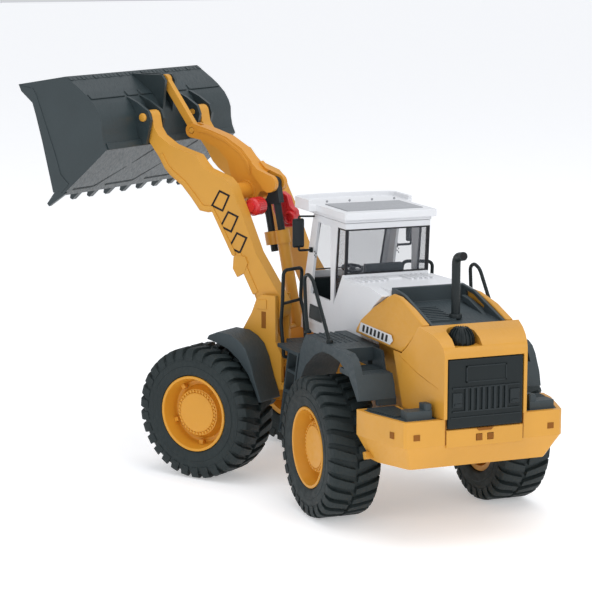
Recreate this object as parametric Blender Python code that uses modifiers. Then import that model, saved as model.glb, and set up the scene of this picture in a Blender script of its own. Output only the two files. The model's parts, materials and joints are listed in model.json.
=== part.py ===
"""Toy articulated wheel loader, 1:16, built as separate plastic pieces.

Lengths below are in millimetres and are scaled to metres when a mesh is made.
Rear frame: +X forward, +Y left, +Z up, origin on the ground under the steering pin.
Front frame: the same axes turned to the left by the resting steering angle.
"""

import math

import bmesh
import bpy
from mathutils import Matrix, Vector

MM = 0.001

# Driving dimensions
STEER_REST = 35.26          # resting steering angle, degrees to the left
CENTRE = (27.93, 73.89)      # plan position of the object's middle in the rear frame
WHEEL_BASE_HALF = 107.0     # steering pin to either axle
TYRE_R = 55.0
TRACK_HALF = 72.2           # middle of the tread
TYRE_HALF_WIDTH = 21.0
RIM_R = 31.6
WHEEL_STEPS = 48
BOOM_PIVOT = (61.0, 142.0)  # x, z in the front frame
BUCKET_PIN = (189.0, 292.5)
CRANK_PIVOT = (112.0, 231.0)
LINK_PIN = (168.0, 279.5)
BUCKET_LINK_PIN = (199.0, 321.5)
CLEVIS_PIN = (87.0, 239.0)
TILT_FOOT = (64.0, 120.0)
LIFT_FOOT = (52.0, 94.0)
LIFT_EYE = (92.0, 172.0)
ARM_INNER = 29.0
ARM_OUTER = 41.0
BUCKET_HALF = 93.5
CAB_HALF = 37.0

YELLOW = (0.86, 0.42, 0.03, 1.0)
ORANGE = (0.80, 0.33, 0.02, 1.0)
SLATE = (0.07, 0.09, 0.10, 1.0)
BLACK = (0.02, 0.025, 0.03, 1.0)
WHITE = (0.75, 0.76, 0.78, 1.0)
GREY = (0.42, 0.43, 0.45, 1.0)
RED = (0.60, 0.02, 0.02, 1.0)
RUBBER = (0.03, 0.045, 0.05, 1.0)
SMOKE = (0.25, 0.26, 0.30, 1.0)

for thing in list(bpy.data.objects):
    bpy.data.objects.remove(thing, do_unlink=True)

loader_parts = bpy.data.collections.new("toy_wheel_loader")
cutter_parts = bpy.data.collections.new("cutters")
bpy.context.scene.collection.children.link(loader_parts)
bpy.context.scene.collection.children.link(cutter_parts)


def frame(name, parent, place, turn=0.0):
    """An empty that carries one moving body; remembers its place in its frame."""
    holder = bpy.data.objects.new(name, None)
    loader_parts.objects.link(holder)
    holder.empty_display_size = 0.01
    holder.parent = parent
    holder.location = Vector(place) * MM
    holder.rotation_euler = (0.0, 0.0, math.radians(turn))
    return holder


def body(name, parent, x, y, z):
    holder = frame(name, parent, (x, y, z))
    holder["offset"] = (x, y, z)
    return holder


def as_object(name, bm, holder, collection):
    """Turns a bmesh in frame millimetres into an object carried by its holder."""
    offset = Vector(holder.get("offset", (0.0, 0.0, 0.0)))
    bmesh.ops.remove_doubles(bm, verts=bm.verts, dist=0.01)
    bmesh.ops.recalc_face_normals(bm, faces=bm.faces)
    bmesh.ops.translate(bm, verts=bm.verts, vec=-offset)
    bmesh.ops.scale(bm, verts=bm.verts, vec=(MM, MM, MM))
    mesh = bpy.data.meshes.new(name)
    bm.to_mesh(mesh)
    bm.free()
    thing = bpy.data.objects.new(name, mesh)
    collection.objects.link(thing)
    thing.parent = holder
    return thing


def piece(name, bm, holder, colour, rough=0.4):
    thing = as_object(name, bm, holder, loader_parts)
    paint = bpy.data.materials.new(name)
    paint.use_nodes = True
    shader = paint.node_tree.nodes["Principled BSDF"]
    shader.inputs["Base Color"].default_value = colour
    shader.inputs["Roughness"].default_value = rough
    thing.data.materials.append(paint)
    return thing


def carve(thing, bm, operation="DIFFERENCE"):
    """Adds an exact Boolean to a piece; the tool solid is kept hidden."""
    tool = as_object(thing.name + "_tool", bm, thing.parent, cutter_parts)
    tool.hide_render = True
    tool.display_type = "WIRE"
    step = thing.modifiers.new("shape", "BOOLEAN")
    step.operation = operation
    step.solver = "EXACT"
    step.object = tool
    return thing


def fuse(thing, bm):
    return carve(thing, bm, "UNION")


def soften(thing, width, segments=1, angle=40.0):
    edge = thing.modifiers.new("soft edges", "BEVEL")
    edge.width = width * MM
    edge.segments = segments
    edge.limit_method = "ANGLE"
    edge.angle_limit = math.radians(angle)
    edge.use_clamp_overlap = True
    return thing


def curve_mesh(curve):
    """Bmesh of a curve object in millimetres."""
    holder = bpy.data.objects.new("profile", curve)
    loader_parts.objects.link(holder)
    bpy.context.view_layer.update()
    mesh = bpy.data.meshes.new_from_object(
        holder.evaluated_get(bpy.context.evaluated_depsgraph_get())
    )
    bm = bmesh.new()
    bm.from_mesh(mesh)
    bpy.data.objects.remove(holder, do_unlink=True)
    bpy.data.curves.remove(curve)
    bpy.data.meshes.remove(mesh)
    return bm


TURNS = {
    "x": Matrix(((0, 0, 1), (1, 0, 0), (0, 1, 0))),
    "y": Matrix(((1, 0, 0), (0, 0, -1), (0, 1, 0))),
    "z": Matrix.Identity(3),
}


def plate(outline, low, high, axis="y", holes=()):
    """Flat outline given in the two other axes, thickened from low to high along axis."""
    curve = bpy.data.curves.new("outline", "CURVE")
    curve.dimensions = "2D"
    curve.fill_mode = "BOTH"
    curve.extrude = (high - low) / 2
    for loop in (outline, *holes):
        spline = curve.splines.new("POLY")
        spline.points.add(len(loop) - 1)
        for point, (u, v) in zip(spline.points, loop):
            point.co = (u, v, 0.0, 1.0)
        spline.use_cyclic_u = True
    bm = curve_mesh(curve)
    bmesh.ops.remove_doubles(bm, verts=bm.verts, dist=0.01)
    bmesh.ops.transform(bm, verts=bm.verts, matrix=TURNS[axis].to_4x4())
    middle = (high + low) / 2
    shift = Vector([middle if axis == a else 0.0 for a in "xyz"])
    bmesh.ops.translate(bm, verts=bm.verts, vec=shift)
    return bm


def merged(*meshes):
    """Several closed shells in one bmesh, for use as one cutter or one union tool."""
    whole = meshes[0]
    for other in meshes[1:]:
        spare = bpy.data.meshes.new("spare")
        other.to_mesh(spare)
        other.free()
        whole.from_mesh(spare)
        bpy.data.meshes.remove(spare)
    return whole


def block(x0, x1, y0, y1, z0, z1):
    bm = bmesh.new()
    bmesh.ops.create_cube(bm, size=1.0)
    bmesh.ops.scale(bm, verts=bm.verts, vec=(x1 - x0, y1 - y0, z1 - z0))
    middle = ((x0 + x1) / 2, (y0 + y1) / 2, (z0 + z1) / 2)
    bmesh.ops.translate(bm, verts=bm.verts, vec=middle)
    return bm


def rod(radius, low, high, centre, axis="y", steps=24, tip=None):
    """Cylinder or cone along an axis; centre gives the two other coordinates in x, y, z order."""
    bm = bmesh.new()
    bmesh.ops.create_cone(
        bm, cap_ends=True, segments=steps, radius1=radius,
        radius2=radius if tip is None else tip, depth=high - low,
    )
    half = math.pi / steps
    bmesh.ops.rotate(bm, verts=bm.verts, matrix=Matrix.Rotation(half, 3, "Z"))
    quarter = {"x": ("Y", 90), "y": ("X", -90), "z": ("Z", 0)}[axis]
    turn = Matrix.Rotation(math.radians(quarter[1]), 3, quarter[0])
    bmesh.ops.rotate(bm, verts=bm.verts, matrix=turn)
    place = list(centre)
    place.insert("xyz".index(axis), (low + high) / 2)
    bmesh.ops.translate(bm, verts=bm.verts, vec=place)
    return bm


def slanted_rod(radius, start, end, steps=20):
    """Cylinder between two points."""
    start, end = Vector(start), Vector(end)
    bm = bmesh.new()
    bmesh.ops.create_cone(
        bm, cap_ends=True, segments=steps, radius1=radius, radius2=radius,
        depth=(end - start).length,
    )
    turn = (end - start).to_track_quat("Z", "Y").to_matrix()
    bmesh.ops.rotate(bm, verts=bm.verts, matrix=turn)
    bmesh.ops.translate(bm, verts=bm.verts, vec=(start + end) / 2)
    return bm


def bar(path, radius, corner=4.0, steps=2):
    """Round bar along a path whose inner corners are rounded."""
    points = [Vector(p) for p in path]
    smooth = [points[0]]
    for before, here, after in zip(points, points[1:], points[2:]):
        reach = min(corner, (before - here).length * 0.45, (after - here).length * 0.45)
        a = here + (before - here).normalized() * reach
        b = here + (after - here).normalized() * reach
        for i in range(4):
            t = i / 3
            smooth.append(a * (1 - t) ** 2 + here * 2 * t * (1 - t) + b * t ** 2)
    smooth.append(points[-1])
    curve = bpy.data.curves.new("bar", "CURVE")
    curve.dimensions = "3D"
    curve.bevel_depth = radius
    curve.bevel_resolution = steps
    curve.use_fill_caps = True
    spline = curve.splines.new("POLY")
    spline.points.add(len(smooth) - 1)
    for point, place in zip(spline.points, smooth):
        point.co = (*place, 1.0)
    return curve_mesh(curve)


def turned(profile, centre, side, steps):
    """Solid of revolution about Y; profile lists (radius, distance from the middle)."""
    bm = bmesh.new()
    loop = [bm.verts.new((r, y * side, 0.0)) for r, y in profile]
    edges = [bm.edges.new(pair) for pair in zip(loop, loop[1:] + loop[:1])]
    bmesh.ops.rotate(bm, verts=bm.verts, matrix=Matrix.Rotation(math.pi / steps, 3, "Y"))
    bmesh.ops.spin(
        bm, geom=loop + edges, axis=(0, 1, 0), cent=(0, 0, 0), steps=steps,
        angle=math.tau, use_merge=True,
    )
    bmesh.ops.remove_doubles(bm, verts=bm.verts, dist=0.01)
    wires = [e for e in bm.edges if not e.link_faces]
    bmesh.ops.delete(bm, geom=wires, context="EDGES")
    bmesh.ops.translate(bm, verts=bm.verts, vec=(centre[0], 0.0, centre[1]))
    return bm


def arc(centre, radius, start, end, count):
    """Points of a circular arc, angles in degrees."""
    angles = [start + (end - start) * i / (count - 1) for i in range(count)]
    return [
        (centre[0] + radius * math.cos(math.radians(a)), centre[1] + radius * math.sin(math.radians(a)))
        for a in angles
    ]


def both(outline):
    """Closes a half outline given for +Y by mirroring it across the middle plane."""
    return outline + [(u, -v) for u, v in reversed(outline)]


SIDES = (("left", 1), ("right", -1))


def span(side, near, far):
    """Low and high Y of a band that lies between near and far from the middle."""
    return (near, far) if side > 0 else (-far, -near)


loader = frame("loader", None, (-CENTRE[0], -CENTRE[1], 0.0))
rear = body("rear_body", loader, 0.0, 0.0, 0.0)
front = frame("steering_axis", loader, (0.0, 0.0, 0.0), STEER_REST)
front["offset"] = (0.0, 0.0, 0.0)
boom = body("boom_axis", front, BOOM_PIVOT[0], 0.0, BOOM_PIVOT[1])


def hung(name, parent_holder, x, z, y=0.0):
    """A holder inside another holder, with its place given in the common frame."""
    base = parent_holder.get("offset", (0.0, 0.0, 0.0))
    holder = frame(name, parent_holder, (x - base[0], y - base[1], z - base[2]))
    holder["offset"] = (x, y, z)
    return holder


# Rear frame -----------------------------------------------------------------

chassis = piece("rear_chassis", plate(
    [(-16, 60), (-16, 115.4), (-60, 119.4), (-103.6, 119.4), (-103.6, 97.4), (-204.6, 97.4),
     (-204.6, 62), (-130, 62), (-128, 70), (-86, 70), (-84, 60)], -24, 24), rear, YELLOW)
for low, high in ((62, 69.6), (104.4, 112)):
    ear = merged(rod(10, low, high, (0, 0), "z", 32))
    fuse(chassis, ear)
    fuse(chassis, block(-22, 0, -10, 10, low, high))
carve(chassis, rod(3.3, 50, 125, (0, 0), "z"))
carve(chassis, block(-10.6, 12, -12, 12, 69.6, 104.4))

pin = piece("steering_pin", rod(3.0, 60.5, 114, (0, 0), "z"), rear, BLACK)
fuse(pin, rod(5.0, 112.3, 115.2, (0, 0), "z"))


def axle(name, holder, x, top):
    """Axle housing with a middle casing and a spindle at each end."""
    thing = piece(name, rod(8.0, -50.0, 50.0, (x, TYRE_R), "y", 24), holder, SLATE)
    fuse(thing, rod(13.0, -16.0, 16.0, (x, TYRE_R), "y", 24))
    fuse(thing, block(x - 12, x + 12, -18, 18, TYRE_R, top))
    fuse(thing, rod(4.0, -74.5, 74.5, (x, TYRE_R), "y", 16))
    return thing


axle("rear_axle", rear, -WHEEL_BASE_HALF, 69.7)

shell_top = both([(-172, 78), (-187, 76.5), (-226, 64.3), (-227.6, 62)])
shell_low = both([(-177, 68), (-188, 67), (-215, 56), (-217, 54)])
weight = piece("counterweight", plate(shell_top, 78.8, 98.0, "z"), rear, YELLOW)
skirt = plate(shell_top, 60.0, 79.3, "z")
for v in skirt.verts:
    if v.co.z < 65:
        nearest = min(shell_top, key=lambda p: (p[0] - v.co.x) ** 2 + (p[1] - v.co.y) ** 2)
        v.co.x, v.co.y = shell_low[shell_top.index(nearest)]
fuse(weight, skirt)
carve(weight, block(-205.0, -160, -45, 45, 50, 110))
carve(weight, block(-240, -224.8, -31.4, 31.4, 89.9, 110))
fuse(weight, block(-228.4, -218.0, -31.0, 31.0, 76.9, 89.6))
for y in (-4.6, 4.6):
    carve(weight, block(-232, -225.5, y - 2.6, y + 2.6, 80.5, 85.7))
tread_plan = [(-175.5, 48), (-175.5, 74.5), (-187, 73.2), (-223.5, 61.5), (-223.5, 36), (-208.5, 36),
              (-208.5, 48)]
for label, side in SIDES:
    pocket = [(x, y * side) for x, y in tread_plan]
    carve(weight, plate(pocket, 94.6, 105, "z"))

for label, side in SIDES:
    inner = [(-175.9, 48.4), (-175.9, 74.0), (-187, 72.8), (-223.1, 61.2), (-223.1, 36.4),
             (-208.9, 36.4), (-208.9, 48.4)]
    tread = piece("step_tread_" + label, plate([(x, y * side) for x, y in inner], 94.9, 98.0, "z"),
                  rear, SLATE, 0.6)
    low, high = span(side, 39.8, 60.0)
    fuse(tread, block(-222.0, -211.0, low, high, 97.6, 104.5))
    low, high = span(side, 39.8, 45.5)
    fuse(tread, block(-221.0, -211.5, low, high, 97.6, 109.0))

cowl_side = [(-229, 98.3), (-229, 147), (-227, 151.2), (-222, 155.8), (-213, 159.6), (-199.6, 162.3),
             (-191.6, 152.2), (-183.6, 143.9), (-176.4, 138.6), (-162.5, 138.6), (-179, 98.3)]
cowl = piece("rear_cowl", plate(cowl_side, -50, 50), rear, YELLOW)
cowl_plan = both([(-155, 44.5), (-178, 44.0), (-200, 41.0), (-229.5, 33.5)])
carve(cowl, plate(cowl_plan, 80, 175, "z"), "INTERSECT")
fuse(cowl, block(-201.0, -104.0, -30.4, 30.4, 98.3, 157.6))
carve(cowl, block(-197.0, -107.0, -27.0, 27.0, 90.0, 154.2))
carve(cowl, block(-199.7, -150.0, -30.8, 30.8, 157.6, 200.0))
carve(cowl, block(-240, -225.6, -31.0, 31.0, 80, 142.7))
carve(cowl, rod(11.0, 150.6, 180, (-214.5, 13.5), "z", 28))
carve(cowl, block(-240.0, -214.5, 2.5, 24.5, 150.6, 180.0))

grille = piece("radiator_grille", block(-231.0, -226.0, -30.6, 30.6, 90.4, 142.3), rear, BLACK)
carve(grille, block(-240, -229.6, -15, 15, 126, 135.5))
for i in range(8):
    y = -15.75 + 4.5 * i
    carve(grille, block(-240, -229.4, y - 1.2, y + 1.2, 104.5, 117.0))

hood_edge = [(-91, 139.4), (-94, 144), (-101, 151.5), (-115, 163.3), (-130, 172.6), (-139, 176.6),
             (-152, 176.4), (-175, 171.0), (-199, 163.0), (-191, 152.9), (-183, 144.4), (-176, 139.4)]
for label, side in SIDES:
    low, high = span(side, 31.0, 45.0)
    bm = plate(hood_edge, low, high)
    for v in bm.verts:
        if abs(v.co.y) > 40:
            v.co.y = side * (45.0 - max(0.0, v.co.z - 150.0) * 0.40 - max(0.0, -v.co.x - 175.0) * 0.12)
    piece("hood_" + label, bm, rear, YELLOW)

tray = piece("engine_tray", plate([(-127.6, 158), (-127.6, 179.6), (-150, 177.4), (-195.4, 163.6),
                                   (-199.2, 162.6), (-199.2, 158)], -30.4, 30.4), rear, SLATE, 0.5)
carve(tray, plate([(-130.4, 167.5), (-130.4, 190), (-199.6, 190), (-199.6, 160.8)], -27.9, 27.9))
carve(tray, plate([(-136, 171), (-136, 175.6), (-150, 174.2), (-168, 168.4), (-168, 165.6)], -40, -26))

stack = piece("exhaust_stack", bar([(-181, 2, 163.4), (-181, 2, 209.2), (-193.5, 2, 211.6)], 3.3, 9.0, 3),
              rear, SLATE)
fuse(stack, rod(4.6, 163.3, 166.0, (-181, 2), "z", 20))
carve(stack, slanted_rod(2.4, (-186, 2, 210.2), (-197, 2, 212.3), 16))

dome_profile = [(0, 150.7), (9.4, 150.7), (9.4, 153.4), (8.9, 156.6), (7.4, 160.0), (4.8, 162.4), (0, 163.6)]
bm = turned(dome_profile, (0, 0), 1, 24)
bmesh.ops.rotate(bm, verts=bm.verts, matrix=Matrix.Rotation(math.radians(90), 3, "X"))
bmesh.ops.translate(bm, verts=bm.verts, vec=(-214.5, 13.5, 0))
piece("air_intake", bm, rear, BLACK)

# Cab ------------------------------------------------------------------------

cab = piece("cab_shell", plate([(15, 219.2), (33.5, 167), (43.5, 119.8), (-48, 119.8), (-50, 176),
                                (-53, 219.2)], -CAB_HALF, CAB_HALF), rear, WHITE, 0.3)
carve(cab, plate([(12, 225), (30.3, 167), (40.3, 122.6), (-45.2, 122.6), (-47.2, 176), (-50.4, 225)],
                 -34.6, 34.6))
door_glass = [(5.5, 213.5), (21.5, 152.0), (-21.5, 152.0), (-22.0, 213.5)]
quarter_glass = [(-36.5, 214.5), (-60.0, 214.5), (-60.0, 177.6), (-46.6, 177.6), (-27.5, 150.0), (-31.0, 178.0)]
low_glass = [(23.5, 143.0), (25.5, 130.5), (-3.0, 130.5), (-5.5, 143.0)]
carve(cab, plate(door_glass, -50, 50))
carve(cab, plate(quarter_glass, -50, 50))
for side in (-1, 1):
    carve(cab, plate(low_glass, *span(side, 36.2, 50.0)))
carve(cab, block(8, 60, -31.0, 31.0, 169.0, 215.0))
carve(cab, block(-70, -45, -40.0, 40.0, 177.6, 214.5))


for label, side in SIDES:
    low, high = span(side, 35.3, 36.4)
    piece("quarter_window_" + label, plate(
        [(-36.9, 214.3), (-51.9, 214.3), (-49.3, 178.2), (-46.3, 178.2), (-30.9, 155.8), (-31.5, 178.0)],
        low, high),
        rear, SMOKE, 0.1)
piece("windshield", plate([(32.0, 169.6), (30.9, 169.6), (15.3, 214.4), (16.4, 214.4)], -30.6, 30.6),
      rear, SMOKE, 0.1)
piece("rear_window", plate([(-48.2, 178.0), (-49.3, 178.0), (-51.9, 214.3), (-50.8, 214.3)], -35.2, 35.2),
      rear, SMOKE, 0.1)

roof_plan = both([(-60, 38.5), (-58, 40.0), (1, 40.0), (3, 46.0), (34, 46.0), (39, 42.0), (42.5, 24.0),
                  (43.5, 8.0)])
roof = piece("cab_roof", plate(roof_plan, 222.6, 228.4, "z"), rear, WHITE, 0.3)
fuse(roof, plate(both([(-54, 37.5), (30, 37.5), (36, 30.0)]), 219.6, 223.0, "z"))
rim_plan = [(3, 46.0), (34, 46.0), (39, 42.0), (42.5, 24.0), (43.5, 8.0)]
rim_back = [(40.0, 8.0), (39.0, 23.0), (35.6, 39.6), (32, 42.6), (3, 42.6)]
rim_ring = rim_plan + [(x, -y) for x, y in reversed(rim_plan)]
rim_ring += [(x, -y) for x, y in reversed(rim_back)] + rim_back
fuse(roof, plate(rim_ring, 228.0, 232.0, "z"))
carve(roof, block(-47.4, 0.4, -33.4, 33.4, 227.2, 236))
piece("roof_hatch", block(-47.0, 0.0, -33.0, 33.0, 227.5, 229.0), rear, GREY, 0.5)

seat = piece("driver_seat", block(-42.0, -18.0, -16.5, 16.5, 124.6, 156.0), rear, SLATE, 0.7)
fuse(seat, plate([(-45, 150), (-46.4, 176), (-45.5, 184.4), (-40.5, 184.4), (-37, 150)], -16.0, 16.0))
fuse(seat, block(-30.0, 18.0, -20.0, 20.0, 122.9, 127.0))
column = piece("steering_wheel", slanted_rod(1.8, (26.5, 0, 140.0), (20.0, 0, 171.0), 12), rear, BLACK)
lean = math.atan2(-6.5, 31.0)
ring = turned([(7.6, -0.9), (9.2, -0.9), (9.2, 0.9), (7.6, 0.9)], (0, 0), 1, 28)
spokes = merged(rod(2.6, -0.9, 0.9, (0, 0), "y", 16), block(-8.2, 8.2, -0.7, 0.7, -1.2, 1.2))
for part in (ring, spokes):
    turn = Matrix.Rotation(math.radians(90), 3, "X")
    bmesh.ops.rotate(part, verts=part.verts, matrix=turn)
    bmesh.ops.rotate(part, verts=part.verts, matrix=Matrix.Rotation(lean, 3, "Y"))
    bmesh.ops.translate(part, verts=part.verts, vec=(20.0, 0, 171.0))
    fuse(column, part)
piece("dashboard", plate([(39.2, 123.2), (30.0, 163.8), (24.5, 163.8), (31.5, 139.6), (21.0, 123.2)],
                         -33.9, 33.9), rear, BLACK, 0.6)
carve(bpy.data.objects["dashboard"], block(10, 45, -4.5, 4.5, 132, 170))

for label, side in SIDES:
    low, high = span(side, 46.0, 56.0)
    mirror = piece("mirror_" + label, block(12.2, 15.2, low, high, 192.0, 216.0), rear, BLACK, 0.3)
    fuse(mirror, bar([(13.7, side * 50.5, 193.0), (13.7, side * 50.5, 189.5), (17.0, side * 38.4, 189.0)],
                     1.1, 2.0, 1))
    fuse(mirror, bar([(13.7, side * 50.5, 215.0), (13.7, side * 50.5, 217.6), (9.0, side * 38.4, 217.6)],
                     1.1, 2.0, 1))

shroud_side = [(-50.6, 122), (-50.6, 175.0), (-127.2, 177.4), (-129.6, 173.2), (-114.6, 163.9),
               (-100.6, 152.1), (-93.5, 144.6), (-90.5, 139.8), (-90.5, 122)]
shroud = piece("engine_shroud", plate(shroud_side, -39.5, 39.5), rear, WHITE, 0.3)
for side in (-1, 1):
    low, high = span(side, 30.7, 50.0)
    carve(shroud, plate([(-104, 177), (-131, 174), (-131, 190), (-104, 190)], low, high))
fuse(shroud, plate([(-89, 122), (-89, 176.0), (-127.2, 177.4), (-127.2, 158.0), (-103.6, 158.0),
                    (-103.6, 122)], -30.6, 30.6))
carve(shroud, block(-140.0, -127.3, -30.7, 30.7, 157.7, 190.0))
carve(shroud, block(-140.0, -103.7, -30.7, 30.7, 98.0, 157.9))
carve(shroud, block(-86.0, -54.0, -34.0, 34.0, 100.0, 172.0))

# Fenders, ladders and rails ---------------------------------------------------

fender_edge = [(-43, 88), (-54, 121), (-62, 132), (-66, 135.5), (-150, 135.5), (-157, 132.5), (-162, 127.0),
               (-169, 114), (-171.6, 103.6), (-168.4, 102.6), (-163, 108.5), (-150, 120.5), (-133.7, 126.4),
               (-117, 128.4), (-100, 128), (-82.7, 122), (-65, 110.5), (-50.6, 94), (-47, 88)]
for label, side in SIDES:
    low, high = span(side, 46.0, 76.0)
    fender = piece("rear_fender_" + label, plate(fender_edge, low, high), rear, SLATE, 0.5)
    low, high = span(side, 40.2, 50.0)
    fuse(fender, plate([(-62, 120.5), (-62, 135.5), (-128, 135.5), (-128, 120.5)], low, high))
    low, high = span(side, 45.4, 60.0)
    fuse(fender, plate([(-120, 128.5), (-120, 135.0), (-150, 135.0), (-171, 104.5), (-171, 98.6),
                        (-166, 98.6), (-164, 107), (-150, 120)], low, high))
    low, high = span(side, 45.2, 70.0)
    carve(fender, block(-170, -132, low, high, 121.5, 140))
    fuse(fender, block(-150.5, -130, *span(side, 45.4, 74.0), 117.5, 121.6))
    fuse(fender, plate([(-130, 119), (-130, 135.5), (-147.5, 135.5), (-153.0, 119)], *span(side, 45.4, 47.4)))

    low, high = span(side, 38.0, 74.0)
    ladder = piece("ladder_" + label, block(-44.0, 18.0, low, high, 113.0, 116.0), rear, SLATE, 0.5)
    for x in (-23.5, -43.5):
        low, high = span(side, 66.0, 74.0)
        fuse(ladder, plate([(x, 114), (x + 2.2, 114), (x + 24.2, 42), (x + 22, 42)], low, high))
    for z in (98.0, 80.0, 61.0, 44.0):
        x = -43.5 + (114 - z) / 72 * 22
        low, high = span(side, 64.0, 74.0)
        fuse(ladder, block(x + 0.8, x + 21.5, low, high, z - 1.3, z + 1.3))

    tall = bar([(-61, side * 72.5, 137.2), (-57, side * 72.5, 150), (-54, side * 72.5, 179.0),
                (-61, side * 72.5, 182.5), (-71, side * 72.5, 180.0), (-105.5, side * 72.5, 137.4)],
               1.5, 4.0, 1)
    rail = piece("rear_rail_" + label, tall, rear, BLACK)
    for x in (-61.5, -106.0):
        fuse(rail, block(x - 3, x + 3, *span(side, 70.0, 75.0), 135.8, 138.0))
    outer_post = [(8, side * 57, 101.5), (7.5, side * 66.5, 103), (7.5, side * 66.5, 108), (12, side * 67, 131),
                  (8.5, side * 67, 147), (6, side * 67, 175)]
    inner_post = [(19, side * 45.5, 174.5), (24, side * 45.0, 147), (16, side * 45, 138),
                  (13, side * 45, 116.4)]
    grab = piece("front_rail_" + label, bar(outer_post + inner_post, 1.5, 5.0, 1), rear, BLACK)
    fuse(grab, slanted_rod(1.3, (8.5, side * 67, 147.0), (24.0, side * 45.0, 147.0), 8))
    carve(bpy.data.objects["ladder_" + label], block(2.0, 24.0, *span(side, 60.0, 76.0), 100, 125))

# Wheels ---------------------------------------------------------------------

tread_r = TYRE_R / math.cos(math.pi / WHEEL_STEPS)
tyre_profile = [(31.9, -17.6), (36.0, -20.0), (45.0, -21.0), (50.5, -20.0), (tread_r, -15.5), (tread_r, 15.5),
                (50.5, 20.0), (45.0, 21.0), (36.0, 20.4), (31.9, 19.0)]
rim_profile = [(0, 3.0), (4.3, 3.0), (4.3, -17.6), (8.0, -17.6), (8.0, 0.5), (27.5, 0.5), (27.5, -17.6),
               (RIM_R, -17.6), (RIM_R, 19.4), (29.4, 19.4), (27.5, 5.0), (19.0, 4.6), (18.2, 13.2),
               (16.6, 14.0), (0, 14.0)]
for end, holder, x in (("rear", rear, -WHEEL_BASE_HALF), ("front", front, WHEEL_BASE_HALF)):
    for label, side in SIDES:
        spin = hung(end + "_" + label + "_wheel_axis", holder, x, TYRE_R, side * TRACK_HALF)
        for kind, profile, colour, steps in (("tyre", tyre_profile, RUBBER, WHEEL_STEPS),
                                             ("rim", rim_profile, YELLOW, 32)):
            bm = turned(profile, (x, TYRE_R), side, steps)
            bmesh.ops.translate(bm, verts=bm.verts, vec=(0, side * TRACK_HALF, 0))
            piece(f"{kind}_{end}_{label}", bm, spin, colour, 0.7 if kind == "tyre" else 0.4)

# Front frame ----------------------------------------------------------------

px, pz = BOOM_PIVOT
nose = piece("front_chassis", plate([(28, 60), (28, 103.6), (50, 106), (57.5, 104), (112, 102), (122, 90), (122, 71),
                                     (93, 71), (90, 60)], -26.5, 26.5), front, YELLOW)
fuse(nose, block(-1, 32, -9.0, 9.0, 70.0, 104.0))
fuse(nose, rod(9.0, 70.0, 104.0, (0, 0), "z", 32))
carve(nose, rod(3.3, 50, 125, (0, 0), "z"))
cheek = [(49, 74), (49, 104), (54.8, 113.5), (54.8, 151.9), (69, 151.7), (73.7, 147.8), (78.4, 136.2),
         (86.7, 122.4), (101, 111), (110, 98), (110, 74)]
for side in (-1, 1):
    low, high = span(side, 43.0, 46.5)
    fuse(nose, plate(cheek, low, high))
    low, high = span(side, 23.5, 26.5)
    fuse(nose, plate([(x, z) for x, z in cheek if x > 50] + [(54.8, 80)], low, high))
    fuse(nose, block(47, 109, *span(side, 20.0, 46.3), 74.3, 80.0))
    fuse(nose, rod(3.4, *span(side, 24.0, 45.0), BOOM_PIVOT, "y", 20))
    fuse(nose, rod(2.2, *span(side, 24.0, 45.0), LIFT_FOOT, "y", 16))
fuse(nose, rod(2.2, -25.0, 25.0, TILT_FOOT, "y", 16))
axle("front_axle", front, WHEEL_BASE_HALF, 70.7)

wing_edge = [(49.5, 68.4), (50.5, 72.0), (55.7, 86.0), (60.2, 101.0), (65.2, 111.8), (71.5, 117.6),
             (80.0, 121.8), (93.0, 122.6), (101.5, 119.2), (103.5, 115.8), (95.4, 114.0), (82.6, 109.6),
             (72.4, 102.0), (62.4, 90.4), (55.7, 77.0), (52.2, 68.2)]
for label, side in SIDES:
    low, high = span(side, 46.9, 76.0)
    piece("front_fender_" + label, plate(wing_edge, low, high), front, SLATE, 0.5)

# Boom -----------------------------------------------------------------------

arm_edge = [(181.6, 284.0), (176.8, 277.3), (164.5, 269.9), (152.3, 266.2), (138.7, 262.7), (132.7, 255.6),
            (128.3, 251.6), (108.9, 245.2), (102.9, 239.7), (99.3, 231.4), (92.7, 218.4), (78.1, 185.2)]
arm_edge += arc(BOOM_PIVOT, 11.0, 155.0, 320.0, 12)
arm_edge += [(76.2, 147.6), (88.6, 170.4), (97.8, 180.2), (101.1, 180.8), (112.2, 200.9), (121.0, 216.5),
             (125.6, 215.6), (134.6, 216.6), (143.6, 227.1), (152.7, 236.5), (164.9, 244.4), (171.0, 250.2),
             (177.0, 259.8), (186.3, 271.0), (191.0, 281.0)]
arm_edge += arc(BUCKET_PIN, 5.8, -25.0, 175.0, 9)
lug = [(97.8, 182.0), (88.0, 181.4), (85.6, 176.4), (88.6, 168.0), (96.0, 163.6), (100.4, 170.6), (99.6, 180.0)]
for label, side in SIDES:
    low, high = span(side, ARM_INNER, ARM_OUTER)
    arm = piece("boom_arm_" + label, plate(arm_edge, low, high), boom, YELLOW)
    fuse(arm, plate(lug, *span(side, ARM_INNER + 0.2, ARM_OUTER + 1.2)))
    ex, ez = LIFT_EYE
    pocket = arc(LIFT_EYE, 11.0, -30.0, 160.0, 14) + [(77.3, 160), (69.2, 142), (60.0, 126), (98, 110),
                                                      (130, 140)]
    carve(arm, plate(pocket, *span(side, 30.8, 39.2)))
    carve(arm, rod(3.8, *span(side, 20.0, 50.0), BOOM_PIVOT, "y", 20))
    fuse(arm, rod(2.5, *span(side, 24.0, 46.6), BUCKET_PIN, "y", 16))

piece("cross_tube", rod(8.0, -28.7, 28.7, CRANK_PIVOT, "y", 28), boom, ORANGE)

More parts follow.
